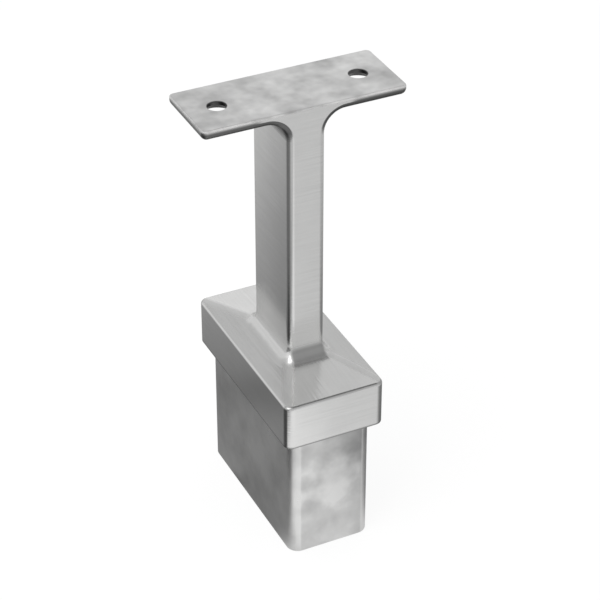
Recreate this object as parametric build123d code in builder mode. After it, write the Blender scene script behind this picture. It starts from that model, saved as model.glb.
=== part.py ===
from build123d import *
import math
import os

# A cast handrail bracket. A plug and a collar close the top of a rectangular post, and a stem carries
# the flat saddle plate that the handrail is screwed to. Sizes are in millimetres. The origin is the
# centre of the collar's underside, where the post ends. X runs along the saddle plate, Y along the
# collar's long side and Z up.

# Post that the bracket closes
post_width = 30.0
post_depth = 60.0
post_wall = 2.5
plug_clearance = 0.1

# Plug that goes down inside the post
plug_length = 40.0
plug_corner_radius = 3.5
plug_end_radius = 0.6

# Collar that sits on the post, with its shallow hipped roof
collar_height = 14.0
collar_corner_radius = 2.5
collar_edge_radius = 0.4
eave_radius = 0.9
roof_rise = 1.6
hip_radius = 2.0

# Stem from the roof up to the saddle plate
stem_width = 11.0
stem_edge_radius = 1.8
stem_foot_radius = 4.5
stem_head_radius = 6.0

# Saddle plate under the handrail
saddle_height = 94.0
saddle_length = 59.0
saddle_width = 23.0
saddle_thickness = 3.0
saddle_corner_radius = 1.5
saddle_rim_radius = 0.5

# Screw holes, countersunk from below because the screws go up into the handrail
hole_spacing = 41.0
hole_diameter = 5.2
hole_land = 1.1
hole_rim_chamfer = 0.15
countersink_angle = 90.0

# Half sizes and levels that follow from the values above
stem_half_width = stem_width / 2
saddle_half_length = saddle_length / 2
saddle_half_width = saddle_width / 2
saddle_underside = saddle_height - saddle_thickness
plug_inset = post_wall + plug_clearance
hole_radius = hole_diameter / 2
countersink_depth = saddle_thickness - hole_land
countersink_radius = hole_radius + countersink_depth * math.tan(math.radians(countersink_angle / 2))
near = 0.01

# The roof runs on a little way inside the stem, so that the stem stands on its slopes all round
roof_share = 1.1
ridge_width = post_width - roof_share * (post_width - stem_width)
ridge_depth = post_depth - roof_share * (post_depth - saddle_width)
ridge_level = collar_height + roof_share * roof_rise
stem_root = collar_height / 2


# Corners of the outline being drawn that lie at one point
def corners_at(outline, x, y):
    return outline.vertices().filter_by(lambda v: abs(v.X - x) < near and abs(v.Y - y) < near)


# True for an edge that follows a corner of the casting and doesn't cross the middle of a face
def follows_corner(edge):
    return min(abs(edge.center().X), abs(edge.center().Y)) > near


with BuildPart() as collar:
    # Block with a hipped roof
    with BuildSketch(Plane.XY) as block_outline:
        RectangleRounded(post_width, post_depth, hip_radius)
    extrude(amount=collar_height)
    with BuildSketch(Plane.XY.offset(collar_height)) as eave_outline:
        RectangleRounded(post_width, post_depth, hip_radius)
    with BuildSketch(Plane.XY.offset(ridge_level)) as ridge_outline:
        RectangleRounded(ridge_width, ridge_depth, hip_radius)
    loft(ruled=True)

    # Rounded upright corners, eaves and lower edge
    with BuildSketch(Plane.XY) as collar_outline:
        RectangleRounded(post_width, post_depth, collar_corner_radius)
    extrude(amount=ridge_level, mode=Mode.INTERSECT)
    collar_sides = collar.faces().filter_by(lambda f: near < f.center().Z < collar_height)
    eaves = collar_sides.edges().filter_by(lambda e: e.center().Z > stem_root + near)
    fillet(eaves, eave_radius)
    fillet(collar.faces().sort_by(Axis.Z)[0].edges(), collar_edge_radius)

with BuildPart() as bracket:
    # Stem and saddle plate, drawn as one half of a T and mirrored
    with BuildSketch(Plane.XZ) as stem_outline:
        with BuildLine():
            Polyline(
                (0, stem_root),
                (stem_half_width, stem_root),
                (stem_half_width, saddle_underside),
                (saddle_half_length, saddle_underside),
                (saddle_half_length, saddle_height),
                (0, saddle_height),
                close=True,
            )
        make_face()
        fillet(corners_at(stem_outline, stem_half_width, saddle_underside), stem_head_radius)
        mirror(about=Plane.YZ)
    extrude(amount=saddle_half_width, both=True)

    # Upright corners of the saddle plate
    uprights = bracket.edges().filter_by(Axis.Z)
    fillet(uprights.filter_by(lambda e: e.center().Z > saddle_underside), saddle_corner_radius)

    # One rounding runs up each corner of the stem and along the lower edge of the saddle plate
    below_plate = bracket.edges().filter_by(lambda e: e.center().Z < saddle_underside + near)
    lower_edges = below_plate.filter_by(lambda e: e.center().Z > stem_root + near)
    saddle_ends = lower_edges.filter_by(lambda e: abs(e.center().X) > saddle_half_length - near)
    fillet(lower_edges.filter_by(follows_corner) + saddle_ends, stem_edge_radius)

    # Rim of the saddle plate
    fillet(bracket.faces().sort_by(Axis.Z)[-1].edges(), saddle_rim_radius)

    # The collar, and the flare from the stem onto its roof
    add(collar.part)
    stem_edges = bracket.edges().filter_by(lambda e: abs(e.center().X) < stem_half_width + near)
    foot_edges = stem_edges.filter_by(lambda e: abs(e.center().Y) < saddle_half_width + near)
    fillet(foot_edges.filter_by(lambda e: collar_height < e.center().Z < ridge_level), stem_foot_radius)

    # Screw holes along the saddle plate
    with Locations(-Plane.XY.offset(saddle_underside)):
        with GridLocations(hole_spacing, 0, 2, 1):
            CounterSinkHole(hole_radius, countersink_radius, 2 * saddle_thickness, countersink_angle)
    saddle_top = bracket.faces().filter_by(Plane.XY).sort_by(Axis.Z)[-1]
    chamfer(saddle_top.edges().filter_by(GeomType.CIRCLE), hole_rim_chamfer)

    # Plug, plain and flat at its end
    with BuildSketch(Plane.XY) as plug_outline:
        RectangleRounded(post_width - 2 * plug_inset, post_depth - 2 * plug_inset, plug_corner_radius)
    extrude(amount=-plug_length)
    fillet(bracket.faces().sort_by(Axis.Z)[0].edges(), plug_end_radius)

bracket.part.label = "bracket"
os.makedirs("parts", exist_ok=True)
export_step(bracket.part, "parts/bracket.step")
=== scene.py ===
import math
import bmesh
import bpy
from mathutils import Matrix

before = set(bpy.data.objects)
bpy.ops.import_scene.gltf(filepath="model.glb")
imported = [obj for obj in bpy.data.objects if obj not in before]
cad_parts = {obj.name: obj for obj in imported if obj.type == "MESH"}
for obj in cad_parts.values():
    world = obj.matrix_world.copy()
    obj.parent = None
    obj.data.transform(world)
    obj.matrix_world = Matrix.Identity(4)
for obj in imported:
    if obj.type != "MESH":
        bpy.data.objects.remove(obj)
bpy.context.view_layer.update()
scene = bpy.context.scene
white = (1, 1, 1, 1)
black = (0, 0, 0, 1)
print("bracket loaded")


# A socket that takes part in plain arithmetic. Each operator adds its Math node to the tree.
class Sock:
    def __init__(self, tree, socket=None):
        self.tree = tree
        self.socket = socket

    def node(self, kind, settings=None, inputs=None, output=0):
        made = self.tree.nodes.new(kind)
        for name, value in (settings or {}).items():
            setattr(made, name, value)
        for name, value in (inputs or {}).items():
            if isinstance(value, Sock):
                self.tree.links.new(value.socket, made.inputs[name])
            else:
                made.inputs[name].default_value = value
        return Sock(self.tree, made.outputs[output] if made.outputs else None)

    def maths(self, operation, first, second):
        return self.node("ShaderNodeMath", {"operation": operation}, {0: first, 1: second})

    def __add__(self, other):
        return self.maths("ADD", self, other)

    def __radd__(self, other):
        return self.maths("ADD", other, self)

    def __sub__(self, other):
        return self.maths("SUBTRACT", self, other)

    def __rsub__(self, other):
        return self.maths("SUBTRACT", other, self)

    def __mul__(self, other):
        return self.maths("MULTIPLY", self, other)

    def __rmul__(self, other):
        return self.maths("MULTIPLY", other, self)

    def __truediv__(self, other):
        return self.maths("DIVIDE", self, other)

    def __rtruediv__(self, other):
        return self.maths("DIVIDE", other, self)

    def __abs__(self):
        return self.maths("ABSOLUTE", self, 0.0)


# From 0 to 1 as a value goes from the first end of an edge to the second, with soft ends
def softStep(value, edge):
    return value.node(
        "ShaderNodeMapRange",
        {"interpolation_type": "SMOOTHSTEP"},
        {"Value": value, "From Min": edge[0], "From Max": edge[1], "To Min": 0.0, "To Max": 1.0},
    )


# Blends one colour into another by a factor. Sockets 6 and 7 and output 2 are the Mix node's colours.
def blend(factor, first, second):
    return factor.node(
        "ShaderNodeMix",
        {"data_type": "RGBA"},
        {"Factor": factor, 6: first, 7: second},
        output=2,
    )


def noiseOf(vector, scale, detail):
    return vector.node("ShaderNodeTexNoise", {}, {"Vector": vector, "Scale": scale, "Detail": detail})


def partsOf(vector):
    return [vector.node("ShaderNodeSeparateXYZ", {}, {0: vector}, output=axis) for axis in "XYZ"]


# Length of a line from its two parts
def lengthOf(first, second):
    return first.node("ShaderNodeMath", {"operation": "SQRT"}, {0: first * first + second * second})


def newMaterial(name):
    material = bpy.data.materials.new(name)
    material.use_nodes = True
    material.node_tree.nodes.clear()
    return material, Sock(material.node_tree)


def surfaceOf(shader):
    shader.node("ShaderNodeOutputMaterial", {}, {"Surface": shader})


def newPlate(name, size, place, material):
    form = bmesh.new()
    bmesh.ops.create_grid(form, x_segments=1, y_segments=1, size=size / 2)
    bmesh.ops.translate(form, verts=form.verts, vec=place)
    mesh = bpy.data.meshes.new(name)
    form.to_mesh(mesh)
    form.free()
    mesh.materials.append(material)
    plate = bpy.data.objects.new(name, mesh)
    scene.collection.objects.link(plate)
    return plate


# Camera, with its angles in degrees and its lens and sensor in millimetres
cameraSet = {
    "place": (-0.211565, -0.446007, 0.360784),
    "down": 34.033,
    "turn": -25.733,
    "lens": 127.907,
    "sensor": 36,
}
cameraData = bpy.data.cameras.new("camera")
cameraData.lens = cameraSet["lens"]
cameraData.sensor_width = cameraSet["sensor"]
camera = bpy.data.objects.new("camera", cameraData)
camera.location = cameraSet["place"]
camera.rotation_euler = (math.radians(90 - cameraSet["down"]), 0, math.radians(cameraSet["turn"]))
scene.collection.objects.link(camera)
scene.camera = camera
scene.view_settings.view_transform = "Standard"
print("camera set")

# Steel: one metal with two finishes, satin where it is brushed and skin as it came from the mould.
# Most pairs are edges: the two values between which something fades in, with heights and distances
# in metres and slopes as parts of the normal. A share is how much of a colour is mixed in.
steelSet = {
    "colour": (0.70, 0.70, 0.695, 1),
    "plateColour": (0.80, 0.80, 0.795, 1),
    "dullAndShadeColour": (0.30, 0.30, 0.30, 1),
    "paintedShadeColour": (0.08, 0.08, 0.08, 1),
    "rimHighlightColour": (0.98, 0.98, 0.98, 1),
    # Where the skin of the casting stays
    "plateEdge": (0.0932, 0.0938),
    "plugEdge": (-0.0002, -0.0008),
    # Noises, as scale and detail, and how the brush lines are stretched
    "clouds": (110.0, 3.0),
    "mottle": (260.0, 1.5),
    "grain": (2600.0, 2.0),
    "brushLines": (1.0, 3.0),
    "levelStretch": (60, 60, 2200),
    "roofStretch": (1700, 60, 300),
    "roofSlope": (0.7, 0.95),
    "noiseMiddle": 0.5,
    # How much each noise dulls the metal, and how dull it is without them
    "cloudDull": {"all": 0.2, "plate": 1.0, "plug": 0.9},
    "mottleDull": {"plate": 0.6, "plug": 0.10},
    "lineDull": 0.25,
    "plainDull": {"all": 0.03, "plate": 0.27, "plug": 0.1},
    # Sides of the stem: painted shade towards the front and painted light lower down
    "stemSlope": (0.6, 0.9),
    "stemLow": (0.018, 0.022),
    "stemFront": (0.012, -0.012),
    "stemFrontShade": 0.45,
    "stemFoot": (0.058, 0.036),
    "stemFootLight": 0.06,
    # Front of the plug: painted shade over it, deeper in its upper corner, round a painted light patch, and
    # painted highlights on its upright roundings
    "frontSlope": (-0.975, -0.999),
    "frontShade": 0.22,
    "frontAside": (-0.006, 0.010),
    "frontHigh": (-0.022, -0.008),
    "frontCornerShade": 0.60,
    "paleAt": (0.0, -0.0176),  # across and up
    "paleReach": (0.012, 0.003),
    "paleRagged": 0.022,
    "paleLight": 0.3,
    "roundFrom": (-0.78, -0.88),
    "roundTo": (-0.998, -0.975),
    "roundLight": 0.12,
    # Painted shade in the fillets at the foot of the two narrow faces of the stem
    "footTop": (0.0203, 0.0182),
    "footLow": (0.0151, 0.0161),
    "footAhead": (0.0108, 0.0118),
    "footAside": (0.0058, 0.0044),
    "footShare": 0.62,
    # Painted shade in the corner under the collar
    "nookLow": (-0.0009, -0.0002),
    "nookTop": (0.0009, 0.0003),
    "nookShare": 0.7,
    # Painted shade on the walls of the screw holes, and painted shadow at their ends
    "holeAt": 0.0205,
    "holeWall": (0.00282, 0.00262),
    "holeLow": (0.0900, 0.0905),
    "holeShare": 0.95,
    "holeEnd": (0.0012, 0.0024),
    "holeEndShare": 0.8,
    # Painted shade on the slopes under the plate that aren't flat, and on the upright sides of its two
    # wings
    "underSlope": (-0.005, -0.07),
    "underFlat": (-0.98, -0.90),
    "underLow": (0.0840, 0.0880),
    "underShare": 0.9,
    "sideTop": (0.0937, 0.0928),
    "sideLow": (0.0905, 0.0915),
    "sideAside": (0.0120, 0.0150),
    "sideSlope": (0.3, 0.1),
    "sideShare": 0.85,
    # Painted shade on the eaves at the front and the back of the collar
    "eaveFrom": (0.25, 0.45),
    "eaveTo": (0.97, 0.90),
    "eaveLow": (0.0120, 0.0128),
    "eaveTop": (0.0148, 0.0143),
    "eaveAhead": (0.08, 0.25),
    "eaveShare": 0.45,
    # Painted highlight on the upper rim of the plate, brighter on the two wings
    "rimLow": (0.0925, 0.0935),
    "rimFrom": (0.02, 0.2),
    "rimTo": (0.98, 0.85),
    "rimShare": 0.08,
    "wingAside": (0.010, 0.016),
    "wingShare": 0.17,
    # Hips of the roof
    "stemCorner": (0.0055, 0.0115),
    "hipTurn": 0.514,
    "hipReach": (0.0022, 0.0006),
    "hipTop": (0.0170, 0.0155),
    # Roughness of the two finishes, and what is added to it
    "satinRough": 0.18,
    "skinRough": 0.34,
    "rimRough": 0.5,
    "cloudRough": 0.08,
    "deepRough": 0.15,
    "footRough": 0.25,
    "hipRough": 0.30,
    "mottleRough": 0.2,
    # Depth of the brush lines and of the skin, and what the skin's relief is made of
    "brushHeight": 0.00003,
    "skinHeight": 0.00007,
    "mottleRelief": 0.8,
    "grainRelief": 0.2,
}


# Brush lines run level round the upright faces and along the collar on its roof
def brushLines(place, onRoof):
    levelSpread = place.node("ShaderNodeMapping", {}, {"Vector": place, "Scale": steelSet["levelStretch"]})
    roofSpread = place.node("ShaderNodeMapping", {}, {"Vector": place, "Scale": steelSet["roofStretch"]})
    levelLines = noiseOf(levelSpread, *steelSet["brushLines"])
    roofLines = noiseOf(roofSpread, *steelSet["brushLines"])
    return levelLines + (roofLines - levelLines) * onRoof


# Painted shade and light: the sides of the stem darken towards the front, and lighten a little lower down
def stemShadeAndLight(y, height, aside):
    onSide = softStep(abs(aside), steelSet["stemSlope"]) * softStep(height, steelSet["stemLow"])
    frontShade = softStep(y, steelSet["stemFront"]) * steelSet["stemFrontShade"]
    return onSide * (frontShade - softStep(height, steelSet["stemFoot"]) * steelSet["stemFootLight"])


# Painted shade on the front of the plug, deeper towards its upper right corner, round a painted light patch
# with a ragged edge.
# The roundings beside it get painted highlights.
def plugShadeAndLight(x, height, ahead, plug, cloudsOff):
    onFront = plug * softStep(ahead, steelSet["frontSlope"])
    onRound = plug * softStep(ahead, steelSet["roundFrom"]) * softStep(ahead, steelSet["roundTo"])
    paleX, paleZ = steelSet["paleAt"]
    fromPale = lengthOf(x - paleX, height - paleZ) + cloudsOff * steelSet["paleRagged"]
    pale = softStep(fromPale, steelSet["paleReach"]) * onFront
    inCorner = softStep(x, steelSet["frontAside"]) * softStep(height, steelSet["frontHigh"])
    dullAndShade = onFront * (steelSet["frontShade"] + steelSet["frontCornerShade"] * inCorner)
    return dullAndShade - pale * steelSet["paleLight"] - onRound * steelSet["roundLight"]


# Painted shade in the fillets at the foot of the two narrow faces, which are also made rougher
def footFilletShade(x, y, height):
    band = softStep(height, steelSet["footTop"]) * softStep(height, steelSet["footLow"])
    return band * softStep(abs(y), steelSet["footAhead"]) * softStep(abs(x), steelSet["footAside"])


# Painted shade on the walls of the screw holes
def holeWallShade(x, y, height):
    fromHole = lengthOf(abs(x) - steelSet["holeAt"], y)
    return softStep(fromHole, steelSet["holeWall"]) * softStep(height, steelSet["holeLow"])


# Painted shade on the slopes under the plate
def underPlateShade(height, upward):
    slope = softStep(upward, steelSet["underSlope"]) * softStep(upward, steelSet["underFlat"])
    return slope * softStep(height, steelSet["underLow"])


# Painted shade on the upright sides of the plate's two wings
def plateSideShade(x, height, upward):
    band = softStep(height, steelSet["sideTop"]) * softStep(height, steelSet["sideLow"])
    return band * softStep(abs(x), steelSet["sideAside"]) * softStep(abs(upward), steelSet["sideSlope"])


# Painted shade on the collar's eaves
def eaveShade(height, ahead, upward):
    slope = softStep(upward, steelSet["eaveFrom"]) * softStep(upward, steelSet["eaveTo"])
    band = softStep(height, steelSet["eaveLow"]) * softStep(height, steelSet["eaveTop"])
    return slope * band * softStep(abs(ahead), steelSet["eaveAhead"])


# Band of the plate's upper rim, for its painted highlight and its roughness
def plateRim(height, upward):
    slope = softStep(upward, steelSet["rimTo"]) * softStep(upward, steelSet["rimFrom"])
    return softStep(height, steelSet["rimLow"]) * slope


# The hips are rougher, so that the stem's corners aren't mirrored in them as a bright line
def roofHips(x, y, height, onRoof):
    cornerX, cornerY = steelSet["stemCorner"]
    fromHip = abs((abs(x) - cornerX) - (abs(y) - cornerY) * steelSet["hipTurn"])
    return onRoof * softStep(fromHip, steelSet["hipReach"]) * softStep(height, steelSet["hipTop"])


# Relief of a given depth, over what lies under it
def bumpOf(depth, relief, under):
    return relief.node(
        "ShaderNodeBump",
        {},
        {"Strength": 1.0, "Distance": depth, "Height": relief, **under},
    )


def satinSteel():
    material, tree = newMaterial("satinSteel")
    place = tree.node("ShaderNodeTexCoord", output="Object")
    x, y, height = partsOf(place)
    aside, ahead, upward = partsOf(tree.node("ShaderNodeTexCoord", output="Normal"))

    # The plate's top and the plug keep the skin of the casting
    plateTop = softStep(height, steelSet["plateEdge"])
    plug = softStep(height, steelSet["plugEdge"])
    skin = plateTop + plug
    onRoof = softStep(upward, steelSet["roofSlope"])
    lines = brushLines(place, onRoof)

    # Soft clouds all over, and the mottle and grain of the skin
    clouds = noiseOf(place, *steelSet["clouds"])
    mottle = noiseOf(place, *steelSet["mottle"])
    grain = noiseOf(place, *steelSet["grain"])
    cloudsOff = clouds - steelSet["noiseMiddle"]
    mottleOff = mottle - steelSet["noiseMiddle"]
    linesOff = lines - steelSet["noiseMiddle"]

    # Duller metal from the noises and the finish, with painted shade and light from the stem's sides and
    # the plug's front
    cloudDull = steelSet["cloudDull"]
    mottleDull = steelSet["mottleDull"]
    plainDull = steelSet["plainDull"]
    dullAndShade = cloudsOff * (cloudDull["all"] + cloudDull["plate"] * plateTop + cloudDull["plug"] * plug)
    dullAndShade = dullAndShade + mottleOff * (mottleDull["plate"] * plateTop + mottleDull["plug"] * plug)
    dullAndShade = dullAndShade + linesOff * steelSet["lineDull"] * (1 - skin)
    dullAndShade = dullAndShade + plainDull["all"] + plainDull["plate"] * plateTop + plainDull["plug"] * plug
    dullAndShade = dullAndShade + stemShadeAndLight(y, height, aside) + plugShadeAndLight(x, height, ahead, plug, cloudsOff)
    colour = blend(plateTop, steelSet["colour"], steelSet["plateColour"])
    colour = blend(dullAndShade, colour, steelSet["dullAndShadeColour"])

    # Painted shade in the corners, in the holes, on the plate's sides, on the eaves and on what faces down
    foot = footFilletShade(x, y, height)
    nook = softStep(height, steelSet["nookLow"]) * softStep(height, steelSet["nookTop"])
    inHole = holeWallShade(x, y, height)
    under = underPlateShade(height, upward)
    side = plateSideShade(x, height, upward) * (1 - inHole) * (1 - under)
    eave = eaveShade(height, ahead, upward)
    paintedShade = foot * steelSet["footShare"] + nook * steelSet["nookShare"] + inHole * steelSet["holeShare"]
    paintedShade = paintedShade + under * steelSet["underShare"] + eave * steelSet["eaveShare"]
    paintedShade = paintedShade + side * steelSet["sideShare"]
    paintedShade = tree.node("ShaderNodeClamp", {}, {"Value": paintedShade})
    colour = blend(paintedShade, colour, steelSet["paintedShadeColour"])

    # Painted shadow: the holes' walls are black at their two ends along the plate
    holeEndShadow = inHole * softStep(abs(abs(x) - steelSet["holeAt"]), steelSet["holeEnd"])
    colour = blend(holeEndShadow * steelSet["holeEndShare"], colour, black)

    # Painted highlight on the plate's upper rim, stronger on the two wings
    rim = plateRim(height, upward)
    onWing = softStep(abs(x), steelSet["wingAside"])
    rimHighlight = rim * (steelSet["rimShare"] + steelSet["wingShare"] * onWing)
    colour = blend(rimHighlight, colour, steelSet["rimHighlightColour"])

    skinMore = steelSet["skinRough"] - steelSet["satinRough"] + mottleOff * steelSet["mottleRough"]
    rough = steelSet["satinRough"] + rim * steelSet["rimRough"] + cloudsOff * steelSet["cloudRough"]
    rough = rough + paintedShade * steelSet["deepRough"] + foot * steelSet["footRough"]
    rough = rough + roofHips(x, y, height, onRoof) * steelSet["hipRough"] + skinMore * skin

    relief = mottle * steelSet["mottleRelief"] + grain * steelSet["grainRelief"]
    brushed = bumpOf(steelSet["brushHeight"], lines * (1 - skin), {})
    bumped = bumpOf(steelSet["skinHeight"], relief * skin, {"Normal": brushed})
    metal = tree.node(
        "ShaderNodeBsdfPrincipled",
        {},
        {"Base Color": colour, "Metallic": 1.0, "Roughness": rough, "Normal": bumped},
    )
    surfaceOf(metal)
    return material


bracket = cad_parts["bracket"]
steel = satinSteel()
for slot in bracket.material_slots:
    slot.material = steel
print("steel made")

# Studio: white all round for the camera, a pale floor, and a soft lamp high up on the left in front
studioSet = {
    "skyLight": 1.0,
    "skyWhite": 1.0,
    "floorColour": (0.95, 0.95, 0.95, 1),
    "floorGlow": 1.0,
    "floorLevel": -0.04,
    "floorSize": 12.0,
    "floorWhite": 0.86,
    "lampWide": 0.42,
    "lampTall": 0.70,
    "lampPlace": (-0.40, -0.17, 0.58),
    "lampAim": 0.03,  # how far above the origin it points
    "lampPower": 1.9,
}


# 1 for what is seen directly, in a mirror or through glass, and 0 for light that falls on things
def seenWhite(tree):
    direct = tree.node("ShaderNodeLightPath", output="Is Camera Ray")
    glossy = tree.node("ShaderNodeLightPath", output="Is Glossy Ray")
    through = tree.node("ShaderNodeLightPath", output="Is Transmission Ray")
    return tree.node(
        "ShaderNodeMath",
        {"operation": "ADD", "use_clamp": True},
        {0: direct + glossy, 1: through},
    )


sky = bpy.data.worlds.new("sky")
sky.use_nodes = True
sky.node_tree.nodes.clear()
skyTree = Sock(sky.node_tree)
skyLight = skyTree.node("ShaderNodeBackground", {}, {"Color": white, "Strength": studioSet["skyLight"]})
skyWhite = skyTree.node("ShaderNodeBackground", {}, {"Color": white, "Strength": studioSet["skyWhite"]})
skyMix = skyTree.node("ShaderNodeMixShader", {}, {0: seenWhite(skyTree), 1: skyLight, 2: skyWhite})
skyTree.node("ShaderNodeOutputWorld", {}, {"Surface": skyMix})
scene.world = sky

floorMaterial, floorTree = newMaterial("floorPaper")
paper = floorTree.node("ShaderNodeBsdfDiffuse", {}, {"Color": studioSet["floorColour"]})
glow = floorTree.node("ShaderNodeEmission", {}, {"Color": white, "Strength": studioSet["floorGlow"]})
floorShare = seenWhite(floorTree) * studioSet["floorWhite"]
surfaceOf(floorTree.node("ShaderNodeMixShader", {}, {0: floorShare, 1: paper, 2: glow}))
newPlate("floor", studioSet["floorSize"], (0, 0, studioSet["floorLevel"]), floorMaterial)

lampData = bpy.data.lights.new("softLamp", "AREA")
lampData.shape = "RECTANGLE"
lampData.size = studioSet["lampWide"]
lampData.size_y = studioSet["lampTall"]
lampData.energy = studioSet["lampPower"]
lamp = bpy.data.objects.new("softLamp", lampData)
lamp.location = studioSet["lampPlace"]
aim = lamp.location.copy()
aim.z -= studioSet["lampAim"]
lamp.rotation_euler = aim.to_track_quat("Z", "Y").to_euler()
scene.collection.objects.link(lamp)
print("studio lit")

# What only the metal mirrors: a dome that darkens overhead, and a shaded patch of floor. Edges are
# pairs as above, in shares of the dome's height, parts of a level direction, or metres along the
# floor. A level is a brightness, with white as 1.
mirrorSet = {
    "backWay": (0.434, 0.901),  # level direction from the photo's camera to the bracket
    "leastReach": 0.0001,  # keeps a division from zero
    # Dome
    "domeReach": 1.5,
    "domeSegments": (64, 32),
    "domeFront": (0.2, -0.4),
    "hazeEdge": (0.44, 0.60),
    "hazeDepth": 0.25,
    "hazeFrontLess": 0.12,
    "darkEdge": (0.74, 0.94),
    "darkDepth": 0.54,
    "leftEdge": (0.0, 0.28),
    "leftDepth": 0.16,
    "rightEdge": (-0.04, -0.17),
    "rightLow": (0.56, 0.46),
    "rightDepth": 0.36,
    # Patch: dark right under the plug, and lighter further out, in a ring and behind
    "patchSize": 1.4,
    "patchLevel": -0.0396,  # height, just above the floor
    "nearLevel": 0.155,
    "farLevel": 0.66,
    "farReach": (0.04, 0.25),
    "ringReach": (0.065, 0.045),
    "ringMore": 0.12,
    "behindFrom": (0.045, 0.065),
    "behindReach": (0.17, 0.11),
    "behindMore": 0.06,
    "underReach": (0.010, 0.022),
    "underShare": 0.3,
    # Its dark left side, with a darker pool
    "darkWay": (-0.99, -0.14),
    "darkCone": (0.70, 0.92),
    "darkLevel": 0.24,
    "poolCentre": (-0.090, -0.012),
    "poolReach": (0.055, 0.028),
    "poolLevel": 0.07,
    # The light on it in front, with leaning boundaries
    "lightFrom": (-0.097, -0.045),
    "lightLean": 0.4,
    "leanFrom": -0.06,
    "lightAhead": (-0.010, -0.034),
    "aheadLean": 0.3,
    "lightTurn": (0.85, 0.40),
    "lightLevel": 0.74,
    "lightMoreTurn": (0.36, 0.05),
    "lightMore": 0.24,
    "lightNear": (0.14, 0.08),
    "lightNearMore": 0.08,
}


def onlyMirrored(card):
    card.visible_camera = False
    card.visible_diffuse = False
    card.visible_shadow = False
    card.visible_transmission = False
    card.visible_volume_scatter = False


# Share of a level direction that points one way
def pointing(across, along, reach, way):
    return (across * way[0] + along * way[1]) / (reach + mirrorSet["leastReach"])


# Moves one level towards another by a share
def towards(level, other, share):
    return level + (other - level) * share


def glowOf(level):
    shown = blend(level, black, white)
    surfaceOf(level.node("ShaderNodeEmission", {}, {"Color": shown, "Strength": 1.0}))


def domeShade():
    material, tree = newMaterial("mirrorDome")
    across, along, up = partsOf(tree.node("ShaderNodeTexCoord", output="Object"))
    reach = lengthOf(across, along)
    steep = up / mirrorSet["domeReach"]
    backX, backY = mirrorSet["backWay"]
    back = pointing(across, along, reach, (backX, backY))
    left = pointing(across, along, reach, (-backY, backX))
    front = softStep(back, mirrorSet["domeFront"])
    hazeDepth = mirrorSet["hazeDepth"] - front * mirrorSet["hazeFrontLess"]
    dark = softStep(steep, mirrorSet["darkEdge"])
    level = 1 - softStep(steep, mirrorSet["hazeEdge"]) * hazeDepth - dark * mirrorSet["darkDepth"]
    leftward = softStep(left, mirrorSet["leftEdge"])
    level = level * (1 - leftward * (1 - front) * mirrorSet["leftDepth"])
    rightward = softStep(left, mirrorSet["rightEdge"]) * softStep(steep, mirrorSet["rightLow"])
    glowOf(level * (1 - rightward * (1 - front) * mirrorSet["rightDepth"]))
    return material


def patchShade():
    material, tree = newMaterial("footPatch")
    across, along = partsOf(tree.node("ShaderNodeTexCoord", output="Object"))[:2]
    reach = lengthOf(across, along)
    farMore = mirrorSet["farLevel"] - mirrorSet["nearLevel"]
    level = mirrorSet["nearLevel"] + softStep(reach, mirrorSet["farReach"]) * farMore
    level = level + softStep(reach, mirrorSet["ringReach"]) * mirrorSet["ringMore"]
    behind = softStep(along, mirrorSet["behindFrom"]) * softStep(reach, mirrorSet["behindReach"])
    level = level + behind * mirrorSet["behindMore"]
    outside = softStep(reach, mirrorSet["underReach"])
    level = level * (mirrorSet["underShare"] + (1 - mirrorSet["underShare"]) * outside)

    darkSide = softStep(pointing(across, along, reach, mirrorSet["darkWay"]), mirrorSet["darkCone"])
    level = towards(level, mirrorSet["darkLevel"], darkSide)
    poolX, poolY = mirrorSet["poolCentre"]
    inPool = softStep(lengthOf(across - poolX, along - poolY), mirrorSet["poolReach"])
    level = towards(level, mirrorSet["poolLevel"], inPool)

    rightward = across / (reach + mirrorSet["leastReach"])
    leaning = across + (along - mirrorSet["leanFrom"]) * mirrorSet["lightLean"]
    ahead = along - across * mirrorSet["aheadLean"]
    inLight = softStep(leaning, mirrorSet["lightFrom"]) * softStep(ahead, mirrorSet["lightAhead"])
    inLight = inLight * softStep(rightward, mirrorSet["lightTurn"])
    lit = mirrorSet["lightLevel"] + softStep(rightward, mirrorSet["lightMoreTurn"]) * mirrorSet["lightMore"]
    lit = lit + softStep(reach, mirrorSet["lightNear"]) * mirrorSet["lightNearMore"]
    glowOf(towards(level, lit, inLight))
    return material


turns, rings = mirrorSet["domeSegments"]
domeForm = bmesh.new()
bmesh.ops.create_uvsphere(domeForm, u_segments=turns, v_segments=rings, radius=mirrorSet["domeReach"])
domeMesh = bpy.data.meshes.new("mirrorDome")
domeForm.to_mesh(domeMesh)
domeForm.free()
domeMesh.materials.append(domeShade())
dome = bpy.data.objects.new("mirrorDome", domeMesh)
scene.collection.objects.link(dome)
onlyMirrored(dome)

patch = newPlate("footPatch", mirrorSet["patchSize"], (0, 0, mirrorSet["patchLevel"]), patchShade())
onlyMirrored(patch)
print("dome and patch set")
